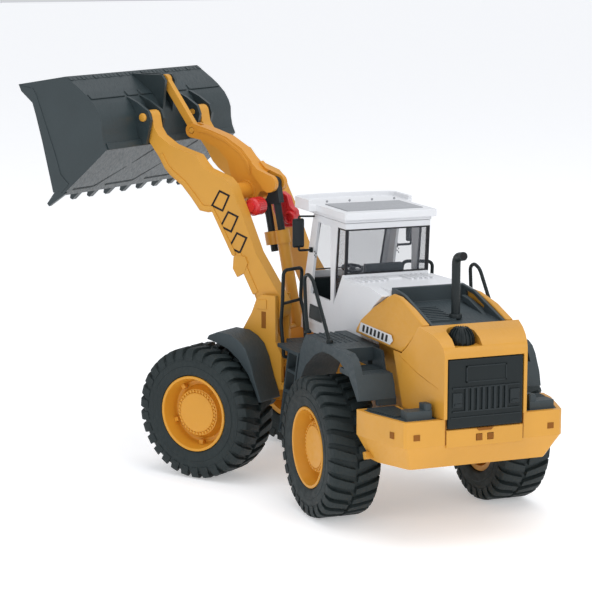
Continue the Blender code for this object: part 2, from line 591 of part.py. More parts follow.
knob_place = (92.0, 221.0)
for label, side in SIDES:
    turn_axis = hung("lock_knob_axis_" + label, boom, knob_place[0], knob_place[1], side * 20.0)
    knob = piece("lock_knob_" + label, rod(7.6, *span(side, 12.2, 26.0), knob_place, "y", 24), turn_axis, RED)
    fuse(knob, rod(4.0, *span(side, 20.0, 28.6), knob_place, "y", 16))
    carve(knob, rod(3.6, *span(side, 8.0, 20.0), knob_place, "y", 16))

crank = hung("bellcrank_axis", boom, *CRANK_PIVOT)
crank_edge = arc(LINK_PIN, 6.2, -75.0, 105.0, 8)
crank_edge += [(150.0, 281.4), (132.0, 276.0), (116.0, 267.0), (106.0, 256.5), (99.0, 249.0)]
crank_edge += arc(CLEVIS_PIN, 6.0, 75.0, 255.0, 8)
crank_edge += [(97.0, 231.6), (101.0, 226.6)]
crank_edge += arc(CRANK_PIVOT, 10.6, 215.0, 350.0, 8)
crank_edge += [(126.8, 243.0), (130.8, 256.0), (141.0, 265.6), (156.0, 271.6)]
bellcrank = piece("bellcrank", plate(crank_edge, -6.0, 6.0), crank, ORANGE)
carve(bellcrank, rod(8.4, -10, 10, CRANK_PIVOT, "y", 28))
carve(bellcrank, rod(2.9, -10, 10, LINK_PIN, "y", 16))
fork_cut = arc(LINK_PIN, 9.0, -120.0, 180.0, 16)
carve(bellcrank, plate(fork_cut, -3.2, 3.2))
lobe_edge = arc(CLEVIS_PIN, 7.4, 95.0, 300.0, 14) + [(103.0, 246.0), (104.0, 256.0), (98.0, 250.6)]
for side in (-1, 1):
    fuse(bellcrank, plate(lobe_edge, *span(side, 3.5, 9.2)))
carve(bellcrank, rod(12.2, -4.3, 4.3, CLEVIS_PIN, "y", 28))

link_axis = hung("tilt_link_axis", crank, *LINK_PIN)
lx, lz = LINK_PIN
bx, bz = BUCKET_LINK_PIN
along = Vector((bx - lx, bz - lz)).normalized()
across = Vector((-along.y, along.x))
link_edge = [(lx + across.x * 3.4, lz + across.y * 3.4), (bx + across.x * 3.4, bz + across.y * 3.4),
             (bx - across.x * 3.4, bz - across.y * 3.4), (lx - across.x * 3.4, lz - across.y * 3.4)]
link = piece("tilt_link", plate(link_edge, -2.8, 2.8), link_axis, YELLOW)
fuse(link, rod(5.2, -2.8, 2.8, LINK_PIN, "y", 20))
fuse(link, rod(4.6, -2.8, 2.8, BUCKET_LINK_PIN, "y", 20))
fuse(link, rod(2.5, -6.6, 6.6, LINK_PIN, "y", 16))

# Bucket ---------------------------------------------------------------------

scoop = hung("bucket_axis", boom, *BUCKET_PIN)
outer = [(285.2, 319.6), (282.5, 314.0), (270.4, 304.5), (267.0, 294.5), (260.5, 272.3), (254.7, 249.9),
         (249.6, 229.6), (240.2, 227.3), (228.3, 237.2), (212.7, 250.2), (191.5, 268.6), (194.7, 275.8),
         (196.1, 283.2), (196.4, 292.0), (198.5, 297.9), (203.0, 305.0), (210.4, 312.1), (216.9, 317.0),
         (225.4, 322.6), (233.5, 328.0)]
inner = [(300.0, 315.0), (284.0, 317.0), (234.2, 325.2), (226.8, 320.2), (218.5, 314.6), (212.3, 309.8),
         (205.4, 303.2), (201.2, 296.6), (199.2, 291.4), (198.9, 282.8), (197.4, 274.8), (195.3, 269.0),
         (214.4, 252.4), (230.0, 239.2), (243.0, 228.3), (262.0, 212.0)]
bucket = piece("bucket", plate(outer, -BUCKET_HALF, BUCKET_HALF), scoop, SLATE, 0.45)
carve(bucket, plate(inner, -BUCKET_HALF + 3.0, BUCKET_HALF - 3.0))
tooth = [(234.5, 232.2), (247.6, 230.4), (249.4, 222.6), (247.0, 221.4)]
corner_tooth = [(236.0, 229.4), (247.6, 230.4), (256.4, 219.6), (254.4, 217.4)]
TEETH = 9
for i in range(TEETH):
    at_corner = i in (0, TEETH - 1)
    half = 1.6 if at_corner else 2.7
    y = -BUCKET_HALF + 1.6 + (2 * BUCKET_HALF - 3.2) * i / (TEETH - 1)
    fuse(bucket, plate(corner_tooth if at_corner else tooth, y - half, y + half))
ear_edge = [(206.5, 309.6), (195.3, 304.7), (184.2, 298.0), (181.4, 290.7), (186.4, 270.3), (193.5, 269.4),
            (198.0, 284.0), (199.0, 294.0)]
for side in (-1, 1):
    for near, far in ((24.6, 27.8), (42.8, 46.0)):
        fuse(bucket, plate(ear_edge, *span(side, near, far)))
    carve(bucket, rod(2.9, *span(side, 20.0, 50.0), BUCKET_PIN, "y", 16))
    low, high = span(side, 5.6, 8.6)
    fuse(bucket, plate([(233.0, 326.2), (206.0, 326.0), (197.5, 326.0), (193.6, 321.0), (194.6, 312.0),
                        (197.4, 288.0), (199.4, 292.0), (204.0, 303.6), (214.0, 312.4)], low, high))
# Cylinders --------------------------------------------------------------------


def line(foot, eye):
    """Unit direction and side direction from a foot to an eye, in x, z."""
    run = Vector((eye[0] - foot[0], eye[1] - foot[1]))
    return run.normalized(), run.length


along, reach = line(LIFT_FOOT, LIFT_EYE)


def on_lift(distance, y):
    return (LIFT_FOOT[0] + along.x * distance, y, LIFT_FOOT[1] + along.y * distance)


for label, side in SIDES:
    y = side * 35.0
    pivot = hung("lift_barrel_axis_" + label, front, *LIFT_FOOT, y)
    barrel = piece("lift_barrel_" + label, slanted_rod(3.9, on_lift(-1, y), on_lift(46.5, y)), pivot, YELLOW)
    fuse(barrel, rod(5.0, y - 3.9, y + 3.9, LIFT_FOOT, "y", 20))
    carve(barrel, rod(2.5, y - 9, y + 9, LIFT_FOOT, "y", 16))
    carve(barrel, slanted_rod(2.9, on_lift(5.6, y), on_lift(60, y)))
    slide = hung("lift_rod_axis_" + label, pivot, *LIFT_EYE, y)
    ram = piece("lift_rod_" + label, slanted_rod(2.5, on_lift(42.0, y), on_lift(reach - 2, y)), slide, YELLOW)
    fuse(ram, rod(4.4, y - 2.4, y + 2.4, LIFT_EYE, "y", 20))

along_t, reach_t = line(TILT_FOOT, CLEVIS_PIN)
side_t = Vector((along_t.y, -along_t.x))


def on_tilt(distance, off=0.0, y=0.0):
    x = TILT_FOOT[0] + along_t.x * distance + side_t.x * off
    z = TILT_FOOT[1] + along_t.y * distance + side_t.y * off
    return (x, y, z)


def flat_on_tilt(points):
    return [on_tilt(d, off)[0::2] for d, off in points]


pivot = hung("tilt_barrel_axis", front, *TILT_FOOT)
barrel = piece("tilt_barrel", slanted_rod(5.2, on_tilt(-1), on_tilt(80)), pivot, YELLOW)
fuse(barrel, slanted_rod(6.4, on_tilt(70), on_tilt(81.2)))
fuse(barrel, slanted_rod(6.4, on_tilt(70, 10.2), on_tilt(81.2, 10.2)))
carve(barrel, rod(2.5, -10, 10, TILT_FOOT, "y", 16))
carve(barrel, slanted_rod(3.6, on_tilt(9), on_tilt(95)))
carve(barrel, slanted_rod(3.6, on_tilt(66, 10.2), on_tilt(95, 10.2)))
slide = hung("tilt_rods_axis", pivot, *CLEVIS_PIN)
rods = piece("tilt_rods", plate(flat_on_tilt([(reach_t + 0.5, -4.9), (reach_t + 1.0, 4.9), (reach_t - 8, 5.2),
                                              (reach_t - 12, 8.0), (reach_t - 13, 12.0),
                                              (reach_t - 17.4, 13.6), (reach_t - 17.4, -4.5),
                                              (reach_t - 11, -4.7)]), -3.7, 3.7), slide, SLATE)
fuse(rods, rod(5.4, -3.7, 3.7, CLEVIS_PIN, "y", 24))
carve(rods, rod(2.7, -10, 10, CLEVIS_PIN, "y", 16))
fuse(rods, slanted_rod(3.1, on_tilt(64), on_tilt(reach_t - 15)))
fuse(rods, slanted_rod(3.1, on_tilt(64, 10.2), on_tilt(reach_t - 15, 10.2)))
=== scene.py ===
import json
import math

import bmesh
import bpy
from mathutils import Matrix, Vector


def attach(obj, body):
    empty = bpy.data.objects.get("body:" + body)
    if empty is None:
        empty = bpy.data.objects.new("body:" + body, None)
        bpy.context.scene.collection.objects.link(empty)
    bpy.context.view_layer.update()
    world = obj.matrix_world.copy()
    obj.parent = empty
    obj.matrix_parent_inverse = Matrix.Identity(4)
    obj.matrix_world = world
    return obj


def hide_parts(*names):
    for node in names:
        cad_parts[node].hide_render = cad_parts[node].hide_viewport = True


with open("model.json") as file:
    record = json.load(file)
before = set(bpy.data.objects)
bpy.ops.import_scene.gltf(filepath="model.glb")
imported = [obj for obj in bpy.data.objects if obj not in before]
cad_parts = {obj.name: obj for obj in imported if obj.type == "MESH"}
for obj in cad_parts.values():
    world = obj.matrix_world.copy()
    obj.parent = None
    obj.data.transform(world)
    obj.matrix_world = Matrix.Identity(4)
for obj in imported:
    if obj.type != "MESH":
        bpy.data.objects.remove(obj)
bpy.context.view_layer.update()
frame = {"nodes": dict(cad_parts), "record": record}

# Rear frame beam and steering pin -------------------------------------------
# The hidden spine of the rear half, a yellow moulding that carries the axle and
# the steering ears. Everything on the rear half is measured from the steering
# pin on the floor; the front half is the same measure turned by the steering.

joints = {j["name"]: j for j in frame["record"]["behaviour"]["joints"]}
pin = Vector(joints["steering"]["pos_m"])
lift_axis = Vector(joints["boom_lift"]["axis"])
steer = math.atan2(lift_axis.x, -lift_axis.y)
REAR = Matrix.Translation((pin.x, pin.y, 0.0)) @ Matrix.Scale(0.001, 4)
FRONT = REAR @ Matrix.Rotation(steer, 4, "Z")
SIDES = (("left", 1), ("right", -1))


def plastic(name, colour, rough=0.38, grain=0.12, tone=0.10, scuff=0.25, coat=0.0, shine=0.5):
    """Moulded plastic: slow tone drift, fine mould grain, faint handling scuffs."""
    paint = bpy.data.materials.new(name)
    paint.use_nodes = True
    nodes, links = paint.node_tree.nodes, paint.node_tree.links
    shader = nodes["Principled BSDF"]
    shader.inputs["Coat Weight"].default_value = coat
    shader.inputs["Specular IOR Level"].default_value = shine
    shader.inputs["Coat Roughness"].default_value = 0.25
    place = nodes.new("ShaderNodeTexCoord")
    drift = nodes.new("ShaderNodeTexNoise")
    drift.inputs["Scale"].default_value = 22.0
    drift.inputs["Detail"].default_value = 4.0
    stretch = nodes.new("ShaderNodeMapping")
    stretch.inputs["Scale"].default_value = (160.0, 900.0, 260.0)
    stretch.inputs["Rotation"].default_value = (0.4, 0.3, 0.6)
    rub = nodes.new("ShaderNodeTexNoise")
    rub.inputs["Scale"].default_value = 1.0
    rub.inputs["Detail"].default_value = 3.0
    fine = nodes.new("ShaderNodeTexNoise")
    fine.inputs["Scale"].default_value = 1400.0
    fine.inputs["Detail"].default_value = 2.0
    links.new(place.outputs["Object"], drift.inputs["Vector"])
    links.new(place.outputs["Object"], stretch.inputs["Vector"])
    links.new(stretch.outputs["Vector"], rub.inputs["Vector"])
    links.new(place.outputs["Object"], fine.inputs["Vector"])
    shade = nodes.new("ShaderNodeValToRGB")
    shade.color_ramp.elements[0].position = 0.32
    shade.color_ramp.elements[1].position = 0.68
    shade.color_ramp.elements[0].color = (*[c * (1 - tone) for c in colour], 1.0)
    shade.color_ramp.elements[1].color = (*[min(1.0, c * (1 + tone * 0.7)) for c in colour], 1.0)
    links.new(drift.outputs["Fac"], shade.inputs["Fac"])
    links.new(shade.outputs["Color"], shader.inputs["Base Color"])
    spread = nodes.new("ShaderNodeMapRange")
    spread.inputs["From Min"].default_value = 0.35
    spread.inputs["From Max"].default_value = 0.75
    spread.inputs["To Min"].default_value = rough
    spread.inputs["To Max"].default_value = min(1.0, rough + scuff)
    links.new(rub.outputs["Fac"], spread.inputs["Value"])
    links.new(spread.outputs["Result"], shader.inputs["Roughness"])
    bump = nodes.new("ShaderNodeBump")
    bump.inputs["Strength"].default_value = grain
    bump.inputs["Distance"].default_value = 0.0003
    links.new(fine.outputs["Fac"], bump.inputs["Height"])
    links.new(bump.outputs["Normal"], shader.inputs["Normal"])
    return paint


yellow = plastic("golden_yellow_plastic", (0.62, 0.300, 0.036), 0.36, 0.10, 0.06, 0.20, 0.1, 0.4)
slate = plastic("slate_grey_plastic", (0.036, 0.050, 0.056), 0.44, 0.35, 0.14, 0.18, shine=0.35)
black = plastic("satin_black_plastic", (0.007, 0.012, 0.013), 0.34, 0.15, 0.15, 0.2, shine=0.25)


def finished(mesh, name, paint, rides, smooth=38.0):
    """Puts a mesh in the scene as a piece, shaded smooth except over sharp edges."""
    thing = bpy.data.objects.new(name, mesh)
    bpy.context.scene.collection.objects.link(thing)
    mesh.materials.clear()
    mesh.materials.append(paint)
    mesh.polygons.foreach_set("use_smooth", [True] * len(mesh.polygons))
    mesh.set_sharp_from_angle(angle=math.radians(smooth))
    even = thing.modifiers.new("even shading", "WEIGHTED_NORMAL")
    even.keep_sharp = True
    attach(thing, rides)
    return thing


def piece(bm, name, paint, rides, place=REAR, smooth=38.0):
    """A bmesh in millimetres becomes a piece in its place."""
    bmesh.ops.remove_doubles(bm, verts=bm.verts, dist=0.001)
    bmesh.ops.recalc_face_normals(bm, faces=bm.faces)
    bmesh.ops.transform(bm, verts=bm.verts, matrix=place)
    mesh = bpy.data.meshes.new(name)
    bm.to_mesh(mesh)
    bm.free()
    return finished(mesh, name, paint, rides, smooth)


body_of = {n: b for b, names in frame["record"]["behaviour"]["bodies"].items() for n in names}


def rounded(bm, width, segments=2, angle=30.0):
    """Rounds the edges that fold by more than the angle, as a mould's corners are."""
    edges = [
        e for e in bm.edges
        if len(e.link_faces) == 2 and e.calc_face_angle(0.0) > math.radians(angle)
    ]
    bmesh.ops.bevel(
        bm, geom=edges, offset=width, offset_type="OFFSET", affect="EDGES", segments=segments,
        profile=0.5, material=-1, clamp_overlap=True,
    )


def moulded(node, paint, edge=0.5, segments=2, angle=30.0, smooth=38.0):
    """The solid of a node with its corners rounded by edge mm, standing for that node."""
    near, speck = 0.00002, 0.000002  # metres: corners closer than this are one corner
    flat = math.radians(0.6)
    bm = bmesh.new()
    bm.from_mesh(frame["nodes"][node].data)
    bmesh.ops.remove_doubles(bm, verts=bm.verts, dist=near)
    bmesh.ops.dissolve_limit(
        bm, angle_limit=flat, verts=bm.verts, edges=bm.edges, use_dissolve_boundaries=False,
    )
    if edge:
        rounded(bm, edge * 0.001, segments, angle)
    bmesh.ops.remove_doubles(bm, verts=bm.verts, dist=speck)
    bmesh.ops.dissolve_degenerate(bm, edges=bm.edges, dist=speck)
    bmesh.ops.triangulate(bm, faces=[f for f in bm.faces if len(f.verts) > 4])
    bmesh.ops.recalc_face_normals(bm, faces=bm.faces)
    mesh = bpy.data.meshes.new(node + "_moulded")
    bm.to_mesh(mesh)
    bm.free()
    thing = finished(mesh, node + "_moulded", paint, body_of[node], smooth)
    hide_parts(node)
    return thing


moulded("rear_chassis", yellow, 0.8)
moulded("steering_pin", black, 0.3)
moulded("rear_axle", slate, 0.5)
moulded("front_axle", slate, 0.5)

# Counterweight --------------------------------------------------------------
# Two wide pods joined by a centre bumper, one hollow yellow moulding screwed to
# the beam. Its square sockets are drawn as flat patches of painted shade in a darker yellow, and its parting
# lines as dark seams.


def moved(bm, way):
    bmesh.ops.translate(bm, verts=bm.verts, vec=way)
    return bm


def spun(bm, angle, axis):
    """Turns a mesh about an axis through the origin, by an angle in radians."""
    bmesh.ops.rotate(bm, verts=bm.verts, matrix=Matrix.Rotation(angle, 3, axis))
    return bm


def block(x0, x1, y0, y1, z0, z1):
    """A box between two values along each axis."""
    bm = bmesh.new()
    bmesh.ops.create_cube(bm, size=1.0)
    bmesh.ops.scale(bm, verts=bm.verts, vec=(x1 - x0, y1 - y0, z1 - z0))
    return moved(bm, ((x0 + x1) / 2, (y0 + y1) / 2, (z0 + z1) / 2))


def joined(*meshes):
    """Several meshes as one, with the first one taking in the others."""
    whole = meshes[0]
    for other in meshes[1:]:
        spare = bpy.data.meshes.new("spare")
        other.to_mesh(spare)
        other.free()
        whole.from_mesh(spare)
        bpy.data.meshes.remove(spare)
    return whole


def slab(outline, low, high, axis="y"):
    """An outline in the two other axes, drawn out from low to high along the axis."""
    spot = "xyz".index(axis)
    bm = bmesh.new()
    face = bm.faces.new([bm.verts.new((*pair[:spot], low, *pair[spot:])) for pair in outline])
    out = bmesh.ops.extrude_face_region(bm, geom=[face])
    step = [(high - low) if axis == a else 0.0 for a in "xyz"]
    far = [g for g in out["geom"] if isinstance(g, bmesh.types.BMVert)]
    bmesh.ops.translate(bm, verts=far, vec=step)
    bmesh.ops.recalc_face_normals(bm, faces=bm.faces)
    return bm


def band(side, near, far):
    """A stretch across the toy, on its left (side 1) or mirrored to its right."""
    return (near, far) if side > 0 else (-far, -near)


moulded("counterweight", yellow, 0.9, 3)
# A darker copy of the body yellow: painted shade for the sockets and slots, also used for the bumper latch
# and the dark parting seams.
recess_shade_and_seam = plastic("painted_recess_shade_and_seam", (0.24, 0.085, 0.010), 0.6, 0.2, shine=0.2)
bend, tail = Vector((-187.0, 76.5)), Vector((-226.0, 64.3))  # ends of a pod's slanted side
slant = tail - bend
for label, side in SIDES:
    spot = bend + slant * 0.70
    # The square sockets are flat patches of painted shade, not holes.
    side_socket = spun(block(-2.2, 2.2, -0.5, 0.5, 84.2, 89.0), math.atan2(slant.y * side, slant.x), "Z")
    moved(side_socket, (spot.x, spot.y * side, 0))
    rear_socket = block(-228.0, -227.2, *band(side, 52.0, 57.0), 84.2, 88.6)
    sockets = joined(side_socket, rear_socket)
    piece(sockets, "pod_sockets_" + label, recess_shade_and_seam, "rear_body")
    seam = block(-227.9, -227.2, *band(side, 31.3, 31.9), 79.0, 97.6)
    piece(seam, "pod_seam_" + label, recess_shade_and_seam, "rear_body")
    foot = slab([(-176, 66), (-181, 67.5), (-184, 62.5), (-178, 60.5)], *band(side, 66.0, 75.0))
    rounded(foot, 0.8)
    piece(foot, "pod_foot_" + label, yellow, "rear_body")
# The bumper's two sockets are flat patches of painted shade.
bumper_socket_shade = joined(*[block(-228.8, -228.0, y - 2.3, y + 2.3, 80.8, 85.4) for y in (-4.6, 4.6)])
piece(bumper_socket_shade, "bumper_sockets", recess_shade_and_seam, "rear_body")
latch = slab([(-7, 90.0), (7, 90.0), (5, 88.0), (-5, 88.0)], -229.0, -228.2, "x")
piece(latch, "bumper_latch", recess_shade_and_seam, "rear_body")

# Pod treads and tail lights ---------------------------------------------------
# Dark grey inserts in the pods' tops: fine cross ribs to step on, with a small
# lamp block at the rear inner corner of each.

for label, side in SIDES:
    moulded("step_tread_" + label, slate, 0.5)
    ribs = []
    for i in range(13):
        x = -177.6 - i * 2.5
        inner = 49.4 if x > -208 else 61.0  # the lamp takes the inner corner at the rear
        outer = 73.4 + (x + 176) * 0.02 if x > bend.x else 72.0 + (x - bend.x) * 0.32
        ribs.append(block(x - 0.7, x + 0.7, *band(side, inner, outer - 1.6), 97.6, 99.2))
    piece(joined(*ribs), "tread_ribs_" + label, slate, "rear_body")
    shape = [(-221.5, 104), (-221.5, 109.5), (-217.5, 109.8), (-214.6, 106.6), (-211.6, 106),
             (-211.6, 104)]
    hook = slab(shape, *band(side, 40.4, 45.0))
    rounded(hook, 0.6)
    piece(hook, "lamp_hook_" + label, slate, "rear_body")

# Rear cowl, grille and air intake -----------------------------------------------
# The sloping tail of the engine cover in body yellow. A black radiator grille
# with slots and two latches clips into its rear face, and a ribbed black cap
# sits in a pocket on the slope.

moulded("rear_cowl", yellow, 1.6, 3, 28.0)
for label, side in SIDES:
    crease = [(-172 - i / 7 * 50, 137 - i / 7 * 17) for i in range(8)]
    above = [(x, z + 0.25) for x, z in crease]
    below = [(x, z - 0.25) for x, z in reversed(crease)]
    line = slab(above + below, 0.0, 0.4)
    for v in line.verts:
        reach = 44.0 if v.co.x > -178 else 44.0 - (-178 - v.co.x) * 0.1364
        reach = 41.0 - (-200 - v.co.x) * 0.2542 if v.co.x < -200 else reach
        v.co.y = side * (reach - 0.3 + v.co.y * 1.3)
    piece(line, "cowl_crease_" + label, yellow, "rear_body")

grille_face = block(-229.2, -226.2, -30.4, 30.4, 90.6, 142.2)
rounded(grille_face, 2.2, 4)
grille = piece(grille_face, "grille_frame", black, "rear_body")
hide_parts("radiator_grille")
charcoal = plastic("charcoal_plastic", (0.012, 0.018, 0.020), 0.38, 0.2, shine=0.3)
bars = [block(-229.9, -228.8, -28.6, 28.6, 98.6, 99.4),
        block(-230.1, -228.8, -27.2, 27.2, 120.4, 121.4),
        block(-230.1, -228.8, -27.2, 27.2, 103.0, 104.0)]
for i in range(8):
    y = -16.1 + 4.6 * i
    bars.append(block(-230.3, -228.8, y - 1.0, y + 1.0, 103.6, 120.8))
piece(joined(*bars), "grille_bars", charcoal, "rear_body")
for label, side in SIDES:
    plate_latch = block(-230.3, -228.7, *band(side, 19.2, 27.2), 106.4, 117.6)
    rounded(plate_latch, 0.9, 3)
    pull = block(-230.9, -230.1, *band(side, 20.6, 25.8), 108.0, 109.6)
    piece(joined(plate_latch, pull), "grille_latch_" + label, charcoal, "rear_body")
window = block(-229.6, -228.8, -15.4, 15.4, 125.4, 136.2)
piece(window, "grille_window", black, "rear_body")
rim_bits = [block(-230.0, -228.8, -16.4, 16.4, z, z + 0.9) for z in (136.0, 124.7)]
rim_bits += [block(-230.0, -228.8, y, y + 1.0, 124.7, 136.9) for y in (-16.4, 15.4)]
piece(joined(*rim_bits), "grille_window_rim", charcoal, "rear_body")

moulded("air_intake", black, 0.0, smooth=50)
fin_shape = [(8.8, 150.8), (10.0, 150.9), (9.9, 154.0), (9.2, 157.6), (7.8, 160.6), (5.0, 163.1),
             (4.2, 162.2), (7.0, 159.4), (8.4, 156.8)]
FINS = 18
fins = []
for i in range(FINS):
    fin = spun(slab(fin_shape, -0.35, 0.35), math.tau * i / FINS, "Z")
    fins.append(moved(fin, (-214.5, 13.5, 0.0)))
piece(joined(*fins), "air_intake_fins", black, "rear_body")

# Hood sides -------------------------------------------------------------------
# A left and a right yellow cover with a tapered lower edge and a parting line
# to the cowl. A plain white sticker with dark slanted bars sits on each.

sticker_white = plastic("sticker_white", (0.72, 0.73, 0.74), 0.3, 0.03, 0.03)
# Dark print for the sticker bars and the arm pattern; the same colour is painted shade in the exhaust's bore.
dark_print_and_bore_shade = plastic("dark_print_and_bore_shade", (0.010, 0.010, 0.011), 0.4, 0.03, 0.05, shine=0.2)
for label, side in SIDES:
    moulded("hood_" + label, yellow, 1.4, 3, 28.0)
    low, high = band(side, 44.9, 45.25)
    badge = slab([(-99, 141.8), (-158, 141.8), (-163, 145.4), (-160, 149.4), (-103, 149.4)], low, high)
    piece(badge, "hood_sticker_" + label, sticker_white, "rear_body")
    low, high = band(side, 45.1, 45.45)
    stripes = []
    for i in range(7):
        x = -106.0 - 7.2 * i
        stripes.append(slab([(x, 143.0), (x - 3.6, 143.0), (x - 5.4, 148.3), (x - 1.8, 148.3)], low, high))
    piece(joined(*stripes), "hood_sticker_bars_" + label, dark_print_and_bore_shade, "rear_body")

# Engine tray and exhaust --------------------------------------------------------
# An open dark basin let into the hood, with a slatted floor and two cover lids,
# and a plain bent pipe standing at its rear, its open end a dark disc of painted shade.

moulded("engine_tray", slate, 0.5)
slats = []
for i in range(9):
    x = -150.0 - i * 4.4
    z = 165.5 - i * 0.43
    slats.append(block(x - 1.3, x + 1.3, 4.0, 26.5, z - 1.4, z + 1.6))
piece(joined(*slats), "tray_slats", slate, "rear_body")
ledge = slab([(-138, 168.0), (-138, 172.4), (-150, 171.2), (-176, 163.4), (-176, 161.0)], -27.4, -23.5)
rounded(ledge, 0.8, 2)
piece(ledge, "tray_ledge", slate, "rear_body")


def bar(path, radius, corner=4.0, resolution=4):
    """Round bar along a path with rounded corners, closed at both ends."""
    points = [Vector(p) for p in path]
    smooth = [points[0]]
    for before, here, after in zip(points, points[1:], points[2:]):
        reach = min(corner, (before - here).length * 0.45, (after - here).length * 0.45)
        a = here + (before - here).normalized() * reach
        b = here + (after - here).normalized() * reach
        for i in range(6):
            t = i / 5
            smooth.append(a * (1 - t) ** 2 + here * 2 * t * (1 - t) + b * t ** 2)
    smooth.append(points[-1])
    curve = bpy.data.curves.new("bar", "CURVE")
    curve.dimensions = "3D"
    curve.bevel_depth = radius
    curve.bevel_resolution = resolution
    curve.use_fill_caps = True
    spline = curve.splines.new("POLY")
    spline.points.add(len(smooth) - 1)
    for point, spot in zip(spline.points, smooth):
        point.co = (*spot, 1.0)
    holder = bpy.data.objects.new("bar", curve)
    mesh = bpy.data.meshes.new_from_object(holder)
    bm = bmesh.new()
    bm.from_mesh(mesh)
    bmesh.ops.remove_doubles(bm, verts=bm.verts, dist=0.001)
    bpy.data.objects.remove(holder)
    bpy.data.curves.remove(curve)
    bpy.data.meshes.remove(mesh)
    return bm


def turned(profile, steps, axis=(0, 1, 0)):
    """Revolves (radius, along) points about the axis through the origin."""
    bm = bmesh.new()
    upright = axis == (0, 0, 1)
    loop = [bm.verts.new((r, 0.0, y) if upright else (r, y, 0.0)) for r, y in profile]
    edges = [bm.edges.new(pair) for pair in zip(loop, loop[1:])]
    bmesh.ops.spin(
        bm, geom=loop + edges, axis=axis, cent=(0, 0, 0), steps=steps, angle=math.tau, use_merge=True,
    )
    bmesh.ops.remove_doubles(bm, verts=bm.verts, dist=0.001)
    bmesh.ops.recalc_face_normals(bm, faces=bm.faces)
    return bm


pipe_x, pipe_y = -181, 2
bend_back = [(pipe_x, pipe_y, 164.0), (pipe_x, pipe_y, 209.2), (-193.2, pipe_y, 211.4)]
pipe = bar(bend_back, 3.3, 8.0, 6)
collar = turned([(0, 163.4), (4.9, 163.4), (4.9, 165.6), (4.2, 166.6), (0, 166.6)], 32, (0, 0, 1))
moved(collar, (pipe_x, pipe_y, 0))
exhaust = piece(joined(pipe, collar), "exhaust_pipe", charcoal, "rear_body", smooth=50)
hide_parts("exhaust_stack")
# A dark disc just inside the capped pipe end: painted shade standing for the dark of the open bore.
mouth = turned([(0, 0.0), (2.5, 0.0), (2.5, 0.5), (0, 0.5)], 24, (0, 0, 1))
spun(mouth, math.radians(-79.8), "Y")
moved(mouth, (-192.9, pipe_y, 211.35))
piece(mouth, "exhaust_mouth_painted_shade", dark_print_and_bore_shade, "rear_body")

# Cab ----------------------------------------------------------------------------
# One white shell with open doorways, smoked clear panes with thin dark frames, a
# separate roof with a raised visor at the front, and a dark interior.

white = plastic("satin_white_plastic", (0.74, 0.75, 0.77), 0.34, 0.08, 0.03, 0.15, 0.1)
hatch_grey = plastic("hatch_grey_plastic", (0.36, 0.37, 0.39), 0.5, 0.3, 0.05)
moulded("cab_shell", white, 0.9, 3)
moulded("cab_roof", white, 0.8, 3)
moulded("roof_hatch", hatch_grey, 0.4)
moulded("engine_shroud", white, 1.2, 3)
moulded("driver_seat", slate, 1.6, 3)
moulded("steering_wheel", black, 0.0, smooth=60)
moulded("dashboard", charcoal, 1.0, 2)
screws = []
for y in (-30.0, -10.0, 10.0, 30.0):
    stud = turned([(0, 0.0), (1.1, 0.0), (0.9, 0.6), (0, 0.7)], 16, (0, 0, 1))
    spun(stud, math.radians(-90), "Y")
    screws.append(moved(stud, (3.1, y, 230.3)))
piece(joined(*screws), "visor_studs", hatch_grey, "rear_body")
for label, side in SIDES:
    low, high = band(side, 36.9, 37.4)
    spots = ((9.4, 184.0), (9.4, 187.0), (12.0, 185.0), (12.0, 188.0))
    dots = [block(x - 0.5, x + 0.5, low, high, z - 0.5, z + 0.5) for x, z in spots]
    piece(joined(*dots), "hinge_dots_" + label, black, "rear_body")


def smoked_pane(name, tint, clear):
    """Polished clear plastic; clear is how much of it hides what is behind."""
    paint = plastic(name, tint, 0.08, 0.02, 0.05, 0.06, shine=0.3)
    paint.node_tree.nodes["Principled BSDF"].inputs["Alpha"].default_value = clear
    return paint


smoke = smoked_pane("smoked_pane", (0.10, 0.11, 0.13), 0.20)
low_smoke = plastic("dark_pane", (0.020, 0.030, 0.033), 0.45, 0.02, 0.1, 0.1, shine=0.15)
for node in ("windshield", "rear_window", "quarter_window_left", "quarter_window_right"):
    frame["nodes"][node].data.materials.clear()
    frame["nodes"][node].data.materials.append(smoke)
for label, side in SIDES:
    low, high = band(side, 36.3, 36.9)
    pane = slab([(23.1, 142.6), (25.0, 130.9), (-2.7, 130.9), (-5.1, 142.6)], low, high)
    piece(pane, "door_pane_" + label, low_smoke, "rear_body")


def edging(points, width, low, high, axis="y"):
    """A closed strip of even width along the inside of an outline."""
    bm = slab(points, low, high, axis)
    along = "xyz".index(axis)
    caps = [f for f in bm.faces if abs(f.normal[along]) > 0.9]
    inner = bmesh.ops.inset_region(bm, faces=caps, thickness=width, depth=0.0, use_even_offset=True)
    keep = set(inner["faces"])
    cores = [f for f in caps if f.is_valid and f not in keep]
    loops = [list(f.edges) for f in cores]
    bmesh.ops.delete(bm, geom=cores, context="FACES_ONLY")
    bmesh.ops.bridge_loops(bm, edges=loops[0] + loops[1])
    return bm


